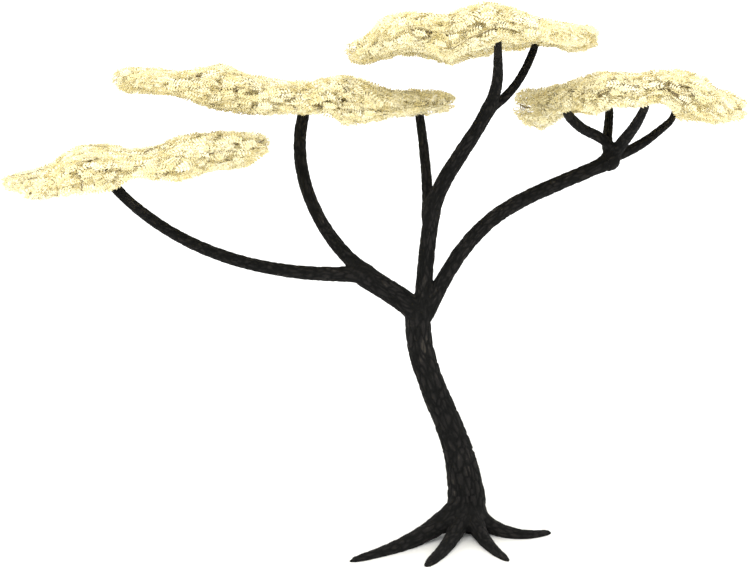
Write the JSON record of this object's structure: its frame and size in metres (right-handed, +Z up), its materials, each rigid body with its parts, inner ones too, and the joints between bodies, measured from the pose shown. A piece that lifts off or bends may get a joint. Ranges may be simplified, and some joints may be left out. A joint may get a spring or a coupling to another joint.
{
  "type": "acacia tree",
  "caption": "Umbrella-crowned acacia tree: a leaning trunk on spread surface roots, curved forking boughs and flat separate masses of fine foliage.",
  "frame": {"origin": "middle of the flat cut under the trunk, at ground level", "axes": "+Z up, +X towards the crown's short side along its longest spread, -Y towards the front that the picture shows"},
  "size_m": [10.8919, 5.828, 7.9662],
  "materials": {
    "bark": "matte, deeply furrowed dark bark",
    "foliage": "matte, pale straw-coloured fine foliage"
  },
  "bodies": {
    "root": {"trunk": "bark", "left_bough": "bark", "long_left_bough": "bark", "rising_left_bough": "bark", "middle_bough": "bark", "middle_left_bough": "bark", "middle_right_bough": "bark", "top_left_branch": "bark", "top_right_branch": "bark", "right_bough": "bark", "right_branch_outer_left": "bark", "right_branch_back": "bark", "right_branch_front": "bark", "right_branch_outer_right": "bark", "foliage_low_left": "foliage", "foliage_high_left": "foliage", "foliage_top": "foliage", "foliage_right": "foliage"}
  },
  "joints": []
}
